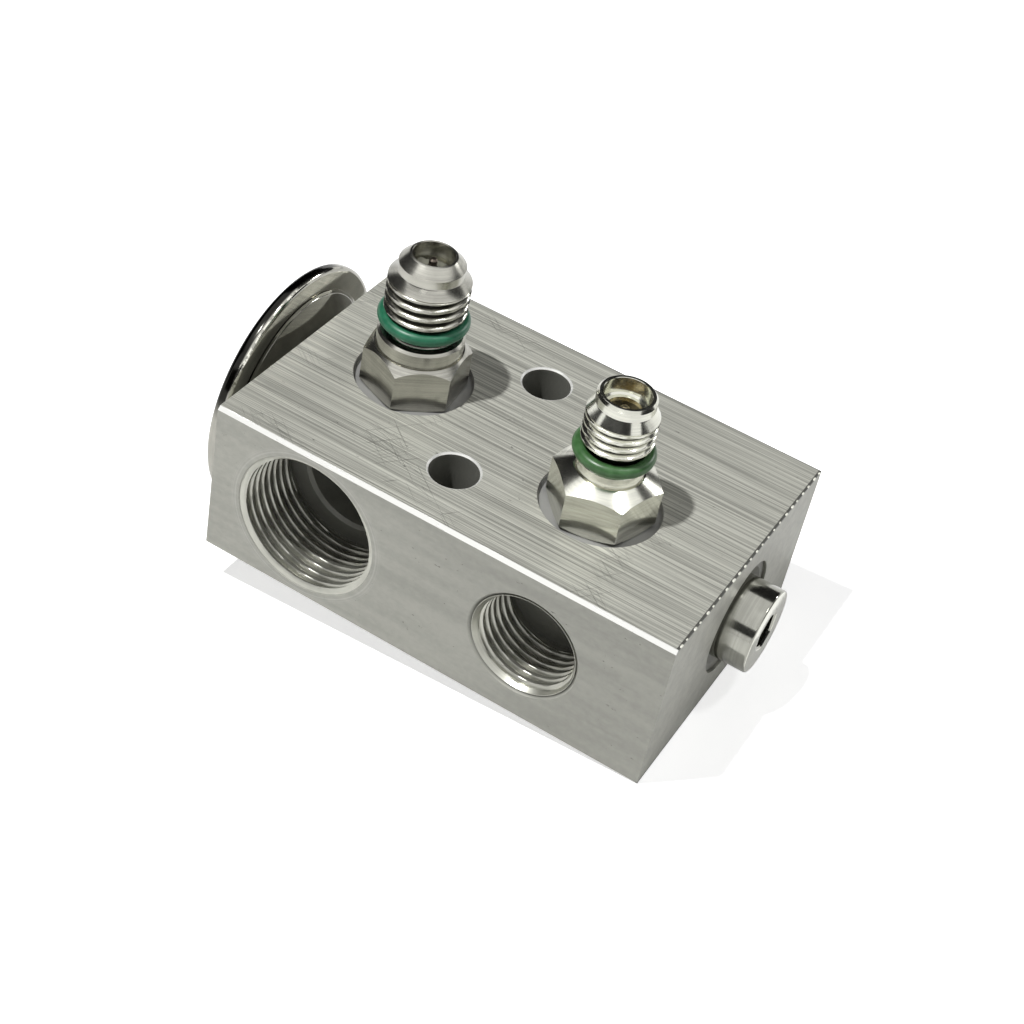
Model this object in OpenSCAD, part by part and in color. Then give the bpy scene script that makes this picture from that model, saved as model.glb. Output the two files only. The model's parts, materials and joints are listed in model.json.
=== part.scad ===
// Block expansion valve with two service ports, millimetres.
// X runs from the power element to the adjuster, Y from the front face to the rear face, Z up.
// The origin is midway between the two mounting holes, on the bottom face.
// Fine threads are left as plain cylinders at their outer diameter.

/* [Block] */
// Length from the power element end to the adjuster end
block_length = 72; // [70:1:80]
// Depth from the front face to the rear face
block_depth = 46.2; // [45:0.2:52]
// Height
block_height = 25.4; // [25:0.2:30]
// Bevel along the front top edge
front_edge_bevel = 0.5; // [0.2:0.1:0.8]
// Small break along the other long edges
edge_break = 0.2; // [0.1:0.05:0.4]

/* [Mounting holes] */
// Distance of the two holes from the power element end
mount_x = 31.9; // [31.5:0.1:32.5]
// Distance of the middle of the pair from the front face
mount_mid_y = 23.4; // [22.8:0.1:24]
// Distance between the two holes
mount_spacing = 25.4; // [24:0.2:27]
// Diameter of each hole
mount_hole_d = 7.2; // [6.4:0.1:7.6]
// Countersink at the mouths of each hole
mount_hole_bevel = 0.25; // [0.1:0.05:0.4]

/* [Suction side] */
// Distance of the suction passage from the power element end
suction_x = 16; // [15.6:0.1:16.6]
// Diameter of the suction passage through the block
suction_passage_d = 16; // [14:0.2:17]
// Outer diameter of the suction thread
suction_thread_d = 22.2; // [20:0.1:22.6]
// Depth of the front suction thread
suction_front_depth = 12.5; // [10:0.5:13.5]
// Depth of the rear suction thread
suction_rear_depth = 11; // [8:0.5:11.5]
// Width of the bevel at the mouths of the suction threads
suction_port_bevel = 0.2; // [0.1:0.05:0.4]

/* [Liquid side] */
// Distance of the liquid inlet from the power element end
inlet_x = 51.5; // [51:0.1:52]
// Distance of the liquid outlet from the power element end
outlet_x = 45; // [44.6:0.1:45.4]
// Outer diameter of the liquid threads
liquid_thread_d = 15.9; // [14:0.1:16.2]
// Depth of the liquid threads
liquid_thread_depth = 11; // [9:0.5:11.5]
// Diameter of the drilling behind the liquid inlet
inlet_drill_d = 5.5; // [4.5:0.1:5.8]
// Diameter of the drilling behind the liquid outlet
outlet_drill_d = 6.4; // [5.5:0.1:6.5]
// Width of the lead-in cone at the mouths of the liquid threads
liquid_port_bevel = 0.6; // [0.3:0.05:0.8]

/* [Valve axis] */
// Distance of the valve axis from the front face
valve_y = 24.5; // [24:0.1:25]
// Diameter of the ball
ball_d = 4.76; // [4.4:0.02:5]
// Diameter of the orifice
orifice_d = 3; // [2.8:0.1:3.2]
// Length of the orifice
orifice_length = 2.2; // [1.8:0.1:2.4]
// Diameter of the push rod
rod_d = 2.4; // [2.2:0.05:2.5]
// Diameter of the rod's tip in the orifice
rod_tip_d = 1.8; // [1.6:0.1:2]
// Diameter of the ball chamber
chamber_d = 10.4; // [10:0.1:10.8]
// Distance the ball lifts off its seat
valve_travel = 0.6; // [0.3:0.05:0.65]

/* [Rod seal] */
// Diameter of the pocket that holds the rod seal
seal_pocket_d = 6.6; // [6:0.1:7]
// Thickness of the round seal's section
rod_seal_section = 2; // [1.8:0.05:2.06]
// Thickness of the star washer that keeps the rod seal in
rod_retainer_t = 0.6; // [0.4:0.1:0.8]

/* [Ball carrier and spring] */
// Diameter of the ball carrier's flange
carrier_d = 8.4; // [8:0.1:8.8]
// Thickness of the ball carrier's flange
carrier_t = 2.2; // [1.8:0.1:2.4]
// Diameter of the ball carrier's spigot
carrier_spigot_d = 4.6; // [4:0.1:4.8]
// Length of the ball carrier's spigot
carrier_spigot_length = 2; // [1.5:0.1:3]
// Mean diameter of the valve spring
spring_mean_d = 6.4; // [6.2:0.1:6.6]
// Wire diameter of the valve spring
spring_wire_d = 1.1; // [0.9:0.05:1.2]
// Number of turns of the valve spring
spring_turns = 5.5; // [4:0.5:6.5]

/* [Adjuster] */
// Diameter of the adjuster plug
plug_d = 12.7; // [12.4:0.1:13]
// Height of the plug over the end face
plug_standout = 4.6; // [3:0.1:6]
// Depth of the plug inside the block
plug_engagement = 10.5; // [9.8:0.1:10.8]
// Bevel on the plug's outer edge
plug_bevel = 0.4; // [0.2:0.1:0.8]
// Width across flats of the hex socket
socket_flats = 5; // [4:0.5:6]
// Depth of the hex socket
socket_depth = 3.2; // [2.5:0.1:4]
// Bevel at the socket's mouth
socket_bevel = 0.35; // [0.1:0.05:0.5]
// Diameter of the recess around the plug in the end face
end_recess_d = 17.4; // [16.5:0.1:18]
// Depth of that recess
end_recess_depth = 0.5; // [0.3:0.1:1]
// Diameter of the bevelled mouth of the plug's thread
plug_mouth_d = 15.2; // [14.4:0.1:15.8]
// Thickness of the plug seal's section
plug_seal_section = 1.6; // [1.4:0.05:1.7]

/* [Power element] */
// Outer diameter of the power element
element_d = 39; // [36:0.5:42]
// Distance of the flange's face from the block
flange_face = 2.8; // [2.6:0.1:3.6]
// Inner diameter of the flat flange
flange_inner_d = 31.8; // [29:0.2:33]
// Diameter of the raised land against the block
land_d = 23; // [22:0.5:25]
// Distance of the land from the block
land_gap = 1.2; // [1:0.1:1.3]
// Sheet thickness
sheet_t = 0.9; // [0.8:0.05:0.95]
// Thickness of the welded rim
rim_t = 2.2; // [2:0.1:2.6]
// Outer diameter of the neck's thread
neck_d = 18; // [17:0.2:18.4]
// Length of the neck inside the block
neck_length = 6; // [5:0.5:6]
// Bore of the neck
neck_bore_d = 13; // [12:0.2:13.6]
// Height of the dome over the rim
dome_height = 3.6; // [3:0.1:5]
// Diameter of the dome's flat top
dome_top_d = 14; // [10:0.5:18]
// Diameter of the charge plug's head
charge_plug_d = 5; // [4:0.2:6]
// Thickness of the diaphragm
diaphragm_t = 0.2; // [0.15:0.01:0.25]
// Diameter of the stop plate under the diaphragm
stop_plate_d = 20; // [18:0.5:21]
// Thickness of the stop plate
stop_plate_t = 0.6; // [0.5:0.05:0.65]
// Thickness of the head seal's section
head_seal_section = 1.6; // [1.4:0.05:1.6]

/* [Suction service port] */
// Distance from the power element end
suction_port_x = 16.5; // [16:0.1:17]
// Distance from the front face
suction_port_y = 24.2; // [23.6:0.1:24.8]
// Height of the nose over the top face
suction_port_height = 21.4; // [20:0.1:23]
// Outer diameter of the cap thread
suction_cap_thread_d = 11.9; // [11.4:0.1:12.4]
// Height where the cap thread ends
suction_thread_end = 12.6; // [12.2:0.1:13.4]
// Diameter of the nose
suction_nose_d = 9.5; // [9:0.1:10]
// Height of the nose under its bevel
suction_nose_height = 1.5; // [1:0.1:2]
// Bevel of the nose
suction_nose_bevel = 1.25; // [0.6:0.05:1.4]
// Bore of the mouth
suction_mouth_d = 6.2; // [5.8:0.1:6.4]
// Depth of the valve core's pin under the mouth
suction_pin_depth = 0.7; // [0.5:0.1:1.5]
// Depth of the valve core's body under the mouth
suction_core_depth = 2; // [1.9:0.1:3]
// Diameter of the collar over the hexagon
suction_collar_d = 12.7; // [12.2:0.1:13]
// Height where the collar ends
suction_collar_top = 8.6; // [8:0.1:9]
// Turn of the hexagon about its axis
suction_hex_turn = -22; // [-30:1:30]
// Drop of the hexagon's bevel at its corners
suction_hex_drop = 1.15; // [0.6:0.05:1.4]
// Mean height of the round seal
suction_ring_height = 10.9; // [10.6:0.1:11]
// Section of the round seal
suction_ring_section = 1.8; // [1.7:0.05:2]

/* [Liquid service port] */
// Distance from the power element end
liquid_port_x = 50.7; // [50.2:0.1:51.2]
// Distance from the front face
liquid_port_y = 18.4; // [18:0.1:18.8]
// Height of the nose over the top face
liquid_port_height = 18.7; // [17.6:0.1:20]
// Outer diameter of the cap thread
liquid_cap_thread_d = 10; // [9.6:0.1:10.4]
// Height where the cap thread ends
liquid_thread_end = 11.9; // [11.4:0.1:12.2]
// Diameter of the nose
liquid_nose_d = 7.8; // [7.6:0.1:8.2]
// Height of the nose under its bevel
liquid_nose_height = 0.9; // [0.6:0.1:1.4]
// Bevel of the nose
liquid_nose_bevel = 0.15; // [0.1:0.05:0.3]
// Bore of the mouth
liquid_mouth_d = 6.5; // [6:0.1:6.7]
// Depth of the valve core's pin under the mouth
liquid_pin_depth = 1.6; // [1:0.1:2]
// Depth of the valve core's body under the mouth
liquid_core_depth = 3; // [2.9:0.1:3.6]
// Diameter of the collar over the hexagon
liquid_collar_d = 9.4; // [9.2:0.1:10]
// Height where the collar ends
liquid_collar_top = 8.6; // [8:0.1:8.7]
// Turn of the hexagon about its axis
liquid_hex_turn = 13; // [-30:1:30]
// Drop of the hexagon's bevel at its corners
liquid_hex_drop = 0.85; // [0.6:0.05:1.4]
// Mean height of the round seal
liquid_ring_height = 9.8; // [9.7:0.1:10]
// Section of the round seal
liquid_ring_section = 1.8; // [1.7:0.05:2]

/* [Both service ports] */
// Width across flats of the hexagons
hex_flats = 13.6; // [13:0.1:14.5]
// Height where the hexagons end
hex_top = 5.9; // [5:0.1:6.5]
// Diameter of the round recess around each hexagon
spotface_d = 17.5; // [17:0.1:18]
// Depth of that recess
spotface_depth = 1; // [0.6:0.1:1.2]
// Outer diameter of the thread into the block
stub_d = 9.5; // [9:0.1:10]
// Length of the thread into the block
stub_length = 3.4; // [2.8:0.1:3.6]
// Diameter of the neck that carries the round seal on the suction port
suction_ring_seat_d = 9.6; // [9:0.1:9.8]
// Diameter of the neck that carries the round seal on the liquid port
liquid_ring_seat_d = 7.9; // [7.6:0.1:8]
// Thickness of the base seal's section
base_seal_section = 1; // [0.8:0.05:1.1]
// Diameter of the valve core's threaded head
core_head_d = 5; // [4.8:0.05:5.2]
// Length of the valve core's threaded head
core_head_length = 4; // [3:0.2:5]
// Diameter of the valve core's barrel
core_barrel_d = 3.6; // [3.4:0.05:3.7]
// Length of the valve core's barrel
core_barrel_length = 4.4; // [4:0.1:5]
// Depth of the spring's room in the barrel
core_spring_room = 2; // [1.8:0.1:2.6]
// Diameter of the core pin
core_pin_d = 1.2; // [1:0.05:1.3]
// Travel of the core pins
core_travel = 1.5; // [1:0.1:2]
// Wire diameter of the core springs
core_wire_d = 0.3; // [0.25:0.05:0.35]
// Number of turns of the core springs
core_spring_turns = 6; // [4:1:8]

/* [Hidden] */
$fn = 96;
overlap = 1;
fit = 0.05;
seat = 0.02;
ball_nest = 0.6;
chamber_margin = 1;
spring_recess_depth = 5;
spring_recess_gap = 0.7;
seal_pocket_depth = 3;
valve_z = block_height / 2;
plug_bore_d = plug_d + 2 * fit;
plug_start = block_length - plug_engagement;
plug_end = block_length + plug_standout;
plug_bore_start = plug_start - chamber_margin;
chamber_start = outlet_x + outlet_drill_d / 2 + orifice_length;
ball_x = chamber_start + sqrt(pow(ball_d, 2) - pow(orifice_d, 2)) / 2 + seat;
rod_end = ball_x - ball_d / 2 - seat;
carrier_start = ball_x + ball_nest;
carrier_end = carrier_start + carrier_t;
spring_seat = plug_start + spring_recess_depth;
spring_recess_d = spring_mean_d + spring_wire_d + spring_recess_gap;
seal_pocket_end = suction_x + suction_passage_d / 2 + seal_pocket_depth;
rod_seal_x = seal_pocket_end - rod_seal_section / 2 - seat;
rod_retainer_x = rod_seal_x - rod_seal_section / 2 - seat - rod_retainer_t;
diaphragm_x = -flange_face - sheet_t;
cover_x = diaphragm_x - diaphragm_t;
rim_outer_x = -flange_face - rim_t;
rim_round = 0.85;
weld_x = (diaphragm_x + cover_x) / 2;
dome_x = rim_outer_x - dome_height;
dome_crease = 0.25;
fill_hole_r = charge_plug_d / 4;
charge_plug_t = 0.9;
charge_plug_bevel = 0.5;
flange_step = 0.3;
diaphragm_d = element_d - 1.2;
diaphragm_r = diaphragm_d / 2 + fit;
diaphragm_wave = 0.2;
diaphragm_waves = 3;
wave_start = stop_plate_d / 2 + 0.5;
wave_end = wave_start + 3.6;
wave_steps = 36;
neck_bevel = 0.6;
neck_relief = 0.4;
seam = 0.01;
passage_bevel = 0.5;
stop_plate_x = diaphragm_x + seat;
boss_d = 6.4;
boss_length = 2.6;
rod_tip_lead = 0.5;
plug_lead_bevel = 0.5;
groove_start = 1.4;
groove_gap = 0.3;
retainer_gap = 0.6;
hex_low_bevel = 0.75;
stub_bore_d = 3;
core_bore_d = core_barrel_d + 0.3;
pin_cup_d = core_barrel_d - 0.4;
pin_cup_t = 1;
core_cap_t = 1.4;
core_shoulder = core_head_length + (core_head_d - core_bore_d) / 2;
core_length = core_shoulder + core_barrel_length;
core_room_d = core_barrel_d - 0.8;
core_room_low = -core_head_length - core_spring_room;
pin_collar_t = 0.5;
hex_round_d = hex_flats - 0.4;
hex_wide_d = 2 * hex_flats / cos(30) - hex_round_d;
collar_bevel = 0.3;
thread_lead = 0.5;
mouth_bevel = 0.12;
core_head_gap = 0.3;
core_slot_depth = 0.6;
core_bridge = 1.6;
core_cone_start = 0.15;
core_cone_inset = 0.1;
pin_tip = 0.25;
coil_gap = 0.3;

// Frames: from the block's lower left front corner, along the valve axis, and at a service port
module from_corner() {
    translate([-mount_x, -mount_mid_y, 0]) children();
}
module on_valve_axis() {
    from_corner() translate([0, valve_y, valve_z]) rotate([0, 90, 0]) children();
}
module on_suction_port() {
    from_corner() translate([suction_port_x, suction_port_y, block_height]) children();
}
module on_liquid_port() {
    from_corner() translate([liquid_port_x, liquid_port_y, block_height]) children();
}

// Cylinder between two heights
module rod_between(d, low, high) {
    translate([0, 0, low]) cylinder(d = d, h = high - low);
}
// Cone between two heights
module cone_between(d1, d2, low, high) {
    translate([0, 0, low]) cylinder(d1 = d1, d2 = d2, h = high - low);
}
// Round seal lying flat at a height
module round_seal(inner_d, section, height) {
    translate([0, 0, height]) rotate_extrude()
        translate([(inner_d + section) / 2, 0]) circle(d = section, $fn = 32);
}
// Hexagonal bar between two heights
module hex_between(flats, low, high) {
    translate([0, 0, low]) cylinder(d = flats / cos(30), h = high - low, $fn = 6);
}

// Coil of round wire from z = 0 to z = length, its ends lying flat
function coil_height(t, turns, length, wire) =
    let (lay = wire * 1.02, rise = (length - wire - 2 * lay) / (turns - 2))
    wire / 2 + (t < 1 ? lay * t : t > turns - 1 ? length - wire - lay * (turns - t)
        : lay + rise * (t - 1));
module coil(mean_d, wire, turns, length, steps = 20, sides = 8) {
    rings = floor(turns * steps);
    points = [for (i = [0:rings], j = [0:sides - 1])
        let (t = i / steps, a = 360 * t, b = 360 * j / sides, r = mean_d / 2 + wire / 2 * cos(b))
        [r * cos(a), r * sin(a), coil_height(t, turns, length, wire) + wire / 2 * sin(b)]];
    walls = [for (i = [0:rings - 1], j = [0:sides - 1])
        [i * sides + j, (i + 1) * sides + j, (i + 1) * sides + (j + 1) % sides,
            i * sides + (j + 1) % sides]];
    first = [[for (j = [0:sides - 1]) j]];
    last = [[for (j = [sides - 1:-1:0]) rings * sides + j]];
    polyhedron(points, concat(walls, first, last));
}

// Block
module block_profile() {
    b = edge_break;
    f = front_edge_bevel;
    polygon([[b, 0], [block_depth - b, 0], [block_depth, b],
        [block_depth, block_height - b], [block_depth - b, block_height],
        [f, block_height], [0, block_height - f], [0, b]]);
}
// Threaded port drilled along +Z from its mouth at z = 0
module threaded_port(d, bevel, depth, drill_d, drill_depth) {
    rod_between(d, -overlap, depth);
    cone_between(d + 2 * bevel, d, -seam, bevel);
    rod_between(d + 2 * bevel, -overlap, 0);
    cone_between(drill_d + 2 * passage_bevel, drill_d, depth - seam, depth + passage_bevel);
    rod_between(drill_d, 0, drill_depth);
}
module front_port(x, d, bevel, depth, drill_d, drill_depth) {
    translate([x, 0, valve_z]) rotate([-90, 0, 0])
        threaded_port(d, bevel, depth, drill_d, drill_depth);
}
module rear_port(x, d, bevel, depth, drill_d, drill_depth) {
    translate([x, block_depth, valve_z]) rotate([90, 0, 0])
        threaded_port(d, bevel, depth, drill_d, drill_depth);
}
module mounting_hole() {
    rod_between(mount_hole_d, -overlap, block_height + overlap);
    for (end = [0, 1]) translate([0, 0, end * block_height]) mirror([0, 0, end])
        cone_between(mount_hole_d + 2 * mount_hole_bevel, mount_hole_d, -seam, mount_hole_bevel);
}
module service_socket(depth) {
    rod_between(spotface_d, -spotface_depth, overlap);
    rod_between(stub_d, -spotface_depth - stub_length - neck_relief, 0);
    cone_between(stub_d, stub_d + 2 * base_seal_section, -spotface_depth - base_seal_section,
        -spotface_depth);
    rod_between(stub_bore_d, -depth, 0);
}
// Everything turned about the valve axis, from the power element end to the adjuster end
module valve_bore() {
    rod_between(neck_d + 2 * seat, -overlap, neck_length + neck_relief);
    rod_between(neck_bore_d, 0, suction_x);
    rod_between(seal_pocket_d, suction_x, seal_pocket_end);
    rod_between(rod_d + 2 * fit, suction_x, outlet_x);
    rod_between(orifice_d, outlet_x, chamber_start + overlap);
    rod_between(chamber_d, chamber_start, block_length);
    rod_between(plug_bore_d, plug_bore_start, block_length);
    cone_between(plug_bore_d, plug_mouth_d,
        block_length - end_recess_depth - (plug_mouth_d - plug_bore_d) / 2,
        block_length - end_recess_depth);
    rod_between(end_recess_d, block_length - end_recess_depth, block_length + overlap);
}
module valve_body() {
    color([0.72, 0.72, 0.70]) difference() {
        from_corner() difference() {
            rotate([90, 0, 90]) linear_extrude(block_length) block_profile();
            front_port(suction_x, suction_thread_d, suction_port_bevel, suction_front_depth,
                suction_passage_d, block_depth / 2);
            rear_port(suction_x, suction_thread_d, suction_port_bevel, suction_rear_depth,
                suction_passage_d, block_depth / 2 + overlap);
            front_port(inlet_x, liquid_thread_d, liquid_port_bevel, liquid_thread_depth,
                inlet_drill_d, valve_y - chamber_d / 2 + overlap);
            rear_port(outlet_x, liquid_thread_d, liquid_port_bevel, liquid_thread_depth,
                outlet_drill_d, block_depth - valve_y + outlet_drill_d / 2);
            for (side = [-1, 1])
                translate([mount_x, mount_mid_y + side * mount_spacing / 2, 0]) mounting_hole();
        }
        on_valve_axis() valve_bore();
        on_suction_port() service_socket(block_height - valve_z);
        on_liquid_port() service_socket(block_height - valve_z);
    }
}

// Power element: sections are drawn as [radius, x] and turned about the valve axis
function rim_arc(x, side) = [for (a = [0:15:90])
    [element_d / 2 - rim_round * (1 - cos(a)), x + side * rim_round * sin(a)]];
module power_element_housing() {
    inner = -flange_face - sheet_t;
    land_inner = -land_gap - sheet_t;
    step_r = flange_inner_d / 2;
    color([0.62, 0.61, 0.59]) on_valve_axis() rotate_extrude() union() {
        polygon(concat([[neck_bore_d / 2, land_inner], [land_d / 2 - sheet_t / 2, land_inner],
            [step_r - sheet_t / 2, inner], [diaphragm_r, inner], [diaphragm_r, weld_x],
            [element_d / 2, weld_x]], rim_arc(-flange_face - rim_round, 1),
            [[step_r, -flange_face], [step_r - flange_step, flange_step - flange_face],
            [land_d / 2, -land_gap], [neck_bore_d / 2, -land_gap]]));
        polygon([[neck_bore_d / 2, land_inner], [neck_d / 2 - sheet_t, land_inner],
            [neck_d / 2, land_inner + sheet_t], [neck_d / 2, neck_length - neck_bevel],
            [neck_d / 2 - neck_bevel, neck_length], [neck_bore_d / 2, neck_length]]);
    }
}
module power_element_cover() {
    step_r = flange_inner_d / 2;
    dome_r = dome_top_d / 2;
    color([0.60, 0.60, 0.58]) on_valve_axis() rotate_extrude()
        polygon(concat([[element_d / 2, weld_x]], rim_arc(rim_outer_x + rim_round, -1),
            [[step_r, rim_outer_x], [step_r - sheet_t, rim_outer_x - dome_crease],
            [dome_r + sheet_t, dome_x + dome_crease], [dome_r, dome_x], [fill_hole_r, dome_x],
            [fill_hole_r, dome_x + sheet_t], [dome_r - sheet_t / 2, dome_x + sheet_t],
            [step_r - sheet_t, rim_outer_x + sheet_t], [step_r + sheet_t / 2, cover_x],
            [diaphragm_r, cover_x], [diaphragm_r, weld_x]]));
}
// Thin sheet with ring waves between the stop plate and the flange
function wave_x(r) = diaphragm_wave * (1 - cos(360 * diaphragm_waves
    * (r - wave_start) / (wave_end - wave_start))) / 2;
module diaphragm() {
    rings = [for (i = [0:wave_steps]) wave_start + (wave_end - wave_start) * i / wave_steps];
    color([0.75, 0.74, 0.70]) on_valve_axis() rotate_extrude() polygon(concat(
        [[0, cover_x]], [for (r = rings) [r, cover_x + wave_x(r)]], [[diaphragm_d / 2, cover_x]],
        [[diaphragm_d / 2, diaphragm_x]],
        [for (i = [wave_steps:-1:0]) [rings[i], diaphragm_x + wave_x(rings[i])]],
        [[0, diaphragm_x]]));
}
module charge_plug() {
    color([0.55, 0.54, 0.52]) on_valve_axis() {
        rod_between(2 * fill_hole_r - 2 * seat, dome_x - seat, dome_x + sheet_t);
        rod_between(charge_plug_d, dome_x - charge_plug_t, dome_x);
        cone_between(charge_plug_d - 2 * charge_plug_bevel, charge_plug_d,
            dome_x - charge_plug_t - charge_plug_bevel, dome_x - charge_plug_t);
    }
}
module head_seal() {
    // lies in the corner between the land, the neck and the block's end face
    color([0.08, 0.08, 0.08]) on_valve_axis()
        round_seal(neck_d + 2 * seat, land_gap - 2 * seat, -land_gap / 2);
}

// Valve train
module stop_plate() {
    color([0.70, 0.62, 0.35]) on_valve_axis() difference() {
        union() {
            rod_between(stop_plate_d, stop_plate_x, stop_plate_x + stop_plate_t);
            rod_between(boss_d, stop_plate_x, stop_plate_x + boss_length);
        }
        rod_between(rod_d + 2 * seat, stop_plate_x + stop_plate_t,
            stop_plate_x + boss_length + overlap);
    }
}
module push_rod() {
    color([0.66, 0.66, 0.66]) on_valve_axis() {
        rod_between(rod_d, stop_plate_x + stop_plate_t + seat, outlet_x + rod_tip_lead);
        rod_between(rod_tip_d, outlet_x, rod_end);
    }
}
module rod_seal() {
    color([0.08, 0.08, 0.08]) on_valve_axis() intersection() {
        round_seal(rod_d + 2 * fit, rod_seal_section, rod_seal_x);
        rod_between(seal_pocket_d - 2 * seat, rod_seal_x - rod_seal_section, rod_seal_x
            + rod_seal_section);
    }
}
module rod_seal_retainer() {
    color([0.66, 0.66, 0.66]) on_valve_axis() difference() {
        rod_between(seal_pocket_d - 2 * seat, rod_retainer_x, rod_retainer_x + rod_retainer_t);
        rod_between(rod_d + retainer_gap, rod_retainer_x - overlap,
            rod_retainer_x + rod_retainer_t + overlap);
    }
}
module valve_ball() {
    color([0.78, 0.78, 0.78]) on_valve_axis() translate([0, 0, ball_x]) sphere(d = ball_d);
}
module ball_carrier() {
    color([0.70, 0.62, 0.35]) on_valve_axis() difference() {
        union() {
            rod_between(carrier_d, carrier_start, carrier_end);
            rod_between(carrier_spigot_d, carrier_start, carrier_end + carrier_spigot_length);
        }
        translate([0, 0, ball_x]) sphere(d = ball_d + 2 * seat);
    }
}
module valve_spring() {
    color([0.60, 0.60, 0.58]) on_valve_axis() translate([0, 0, carrier_end + seat])
        coil(spring_mean_d, spring_wire_d, spring_turns, spring_seat - carrier_end - 2 * seat, 24);
}

// Adjuster
module adjuster_plug() {
    groove_low = plug_start + groove_start;
    groove_high = groove_low + plug_seal_section + groove_gap;
    groove_d = plug_bore_d - 2 * plug_seal_section - 2 * seat;
    color([0.74, 0.74, 0.73]) on_valve_axis() difference() {
        rotate_extrude() polygon([[0, plug_start], [plug_d / 2 - plug_lead_bevel, plug_start],
            [plug_d / 2, plug_start + plug_lead_bevel], [plug_d / 2, groove_low],
            [groove_d / 2, groove_low], [groove_d / 2, groove_high],
            [plug_d / 2, groove_high], [plug_d / 2, plug_end - plug_bevel],
            [plug_d / 2 - plug_bevel, plug_end], [0, plug_end]]);
        rod_between(spring_recess_d, plug_start - overlap, spring_seat);
        hex_between(socket_flats, plug_end - socket_depth, plug_end + overlap);
        cone_between(socket_flats - 2 * socket_bevel, socket_flats + 2 * socket_bevel,
            plug_end - 2 * socket_bevel, plug_end);
    }
}
module adjuster_seal() {
    mid = plug_start + groove_start + (plug_seal_section + groove_gap) / 2;
    color([0.08, 0.08, 0.08]) on_valve_axis()
        round_seal(plug_bore_d - 2 * plug_seal_section - seat, plug_seal_section, mid);
}

// Body of a service port: heights are over the block's top face
module port_body(height, thread_d, thread_end, nose_d, nose_height, nose_bevel, mouth_d,
    core_depth, collar_d, collar_top, hex_turn, hex_drop, ring_seat_d) {
    base = -spotface_depth;
    stub_end = base - stub_length;
    nose_low = height - nose_bevel - nose_height;
    lead = (thread_d - nose_d) / 2;
    core_low = height - core_depth - core_head_length;
    seat_low = height - core_depth - core_shoulder;
    core_end = height - core_depth - core_length - pin_cup_t - core_travel;
    difference() {
        union() {
            rod_between(stub_d - 2 * seat, stub_end, base + overlap);
            intersection() {
                rotate([0, 0, hex_turn]) hex_between(hex_flats, base, hex_top);
                union() {
                    cone_between(hex_round_d, hex_wide_d, base, base + 2 * hex_low_bevel);
                    rod_between(hex_wide_d, base + 2 * hex_low_bevel, hex_top - 2 * hex_drop);
                    cone_between(hex_wide_d, hex_round_d, hex_top - 2 * hex_drop, hex_top);
                }
            }
            rod_between(collar_d, hex_top - overlap, collar_top - collar_bevel);
            cone_between(collar_d, collar_d - 2 * collar_bevel, collar_top - collar_bevel,
                collar_top);
            rod_between(ring_seat_d, collar_top - overlap, thread_end + overlap);
            cone_between(thread_d - 2 * thread_lead, thread_d, thread_end,
                thread_end + thread_lead);
            rod_between(thread_d, thread_end + thread_lead, nose_low - lead);
            cone_between(thread_d, nose_d, nose_low - lead, nose_low);
            rod_between(nose_d, nose_low - overlap, height - nose_bevel);
            cone_between(nose_d, nose_d - 2 * nose_bevel, height - nose_bevel, height);
        }
        rod_between(mouth_d, height - core_depth + core_head_gap, height + overlap);
        cone_between(mouth_d, mouth_d + 2 * mouth_bevel, height - mouth_bevel, height);
        rod_between(core_head_d + 2 * seat, core_low, height);
        cone_between(core_bore_d, core_head_d + 2 * seat, seat_low, core_low);
        rod_between(core_bore_d, core_end - neck_relief, core_low);
        rod_between(stub_bore_d, stub_end - overlap, core_low);
    }
}
module suction_service_port() {
    color([0.70, 0.69, 0.66]) on_suction_port() port_body(suction_port_height,
        suction_cap_thread_d, suction_thread_end, suction_nose_d, suction_nose_height,
        suction_nose_bevel, suction_mouth_d, suction_core_depth, suction_collar_d,
        suction_collar_top, suction_hex_turn, suction_hex_drop, suction_ring_seat_d);
}
module liquid_service_port() {
    color([0.76, 0.76, 0.76]) on_liquid_port() port_body(liquid_port_height,
        liquid_cap_thread_d, liquid_thread_end, liquid_nose_d, liquid_nose_height,
        liquid_nose_bevel, liquid_mouth_d, liquid_core_depth, liquid_collar_d,
        liquid_collar_top, liquid_hex_turn, liquid_hex_drop, liquid_ring_seat_d);
}
module suction_port_ring() {
    color([0.10, 0.42, 0.26]) on_suction_port()
        round_seal(suction_ring_seat_d + 2 * seat, suction_ring_section, suction_ring_height);
}
module liquid_port_ring() {
    color([0.20, 0.38, 0.16]) on_liquid_port()
        round_seal(liquid_ring_seat_d + 2 * seat, liquid_ring_section, liquid_ring_height);
}
module base_seal() {
    // a ring of triangular section that fills the countersink under the hexagon
    color([0.08, 0.08, 0.08]) translate([0, 0, -spotface_depth]) rotate_extrude()
        polygon([[stub_d / 2 + seat, -seat], [stub_d / 2 + base_seal_section - 3 * seat, -seat],
            [stub_d / 2 + seat, -base_seal_section + 3 * seat]]);
}
module suction_base_seal() {
    on_suction_port() base_seal();
}
module liquid_base_seal() {
    on_liquid_port() base_seal();
}

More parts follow.
